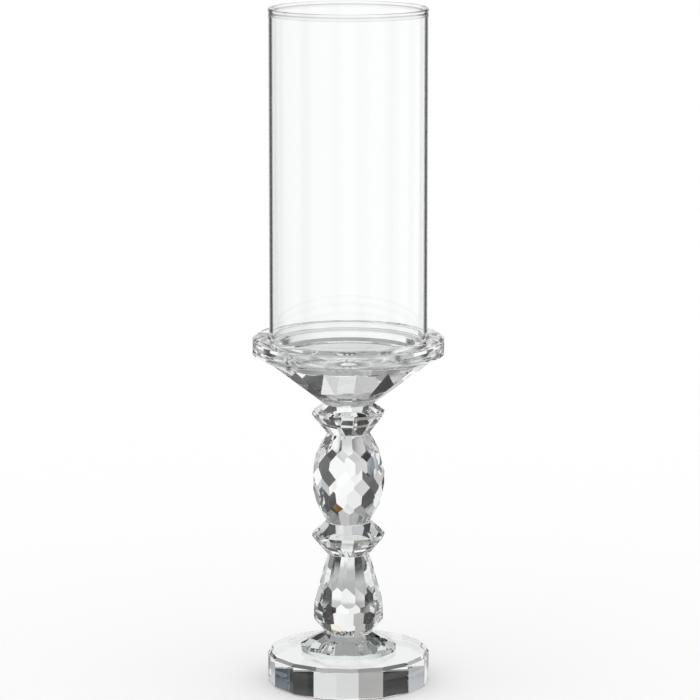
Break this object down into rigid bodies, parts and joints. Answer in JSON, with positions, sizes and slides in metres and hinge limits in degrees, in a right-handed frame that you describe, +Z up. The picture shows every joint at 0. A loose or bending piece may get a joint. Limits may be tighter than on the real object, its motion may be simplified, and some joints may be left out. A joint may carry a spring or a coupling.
{
  "type": "hurricane candle holder",
  "caption": "Clear cut crystal pedestal candle holder with faceted beads and dish, and a loose open glass hurricane chimney standing on its rim.",
  "frame": {"origin": "middle of the underside of the base, on the table", "axes": "+Z up along the stem, -Y towards the camera of the picture, +X to its right"},
  "size_m": [0.1212, 0.1212, 0.4303],
  "materials": {
    "cut_crystal": "polished optical crystal with flat ground facets",
    "chimney_glass": "clear thin glass tube, fire-polished rims",
    "clear_adhesive": "clear cured adhesive film"
  },
  "bodies": {
    "stand": {"base_disc": "cut_crystal", "foot_cone": "cut_crystal", "pear_bead": "cut_crystal", "lower_collar": "cut_crystal", "egg_bead": "cut_crystal", "upper_collar": "cut_crystal", "candle_dish": "cut_crystal", "bond_foot": "clear_adhesive", "bond_pear": "clear_adhesive", "bond_lower_collar": "clear_adhesive", "bond_egg": "clear_adhesive", "bond_upper_collar": "clear_adhesive", "bond_dish": "clear_adhesive"},
    "chimney": {"glass_chimney": "chimney_glass"}
  },
  "joints": [
    {"name": "chimney_lift", "type": "slide", "parent": "stand", "child": "chimney", "axis": [0, 0, 1], "range_m": [0, 0.06]}
  ]
}
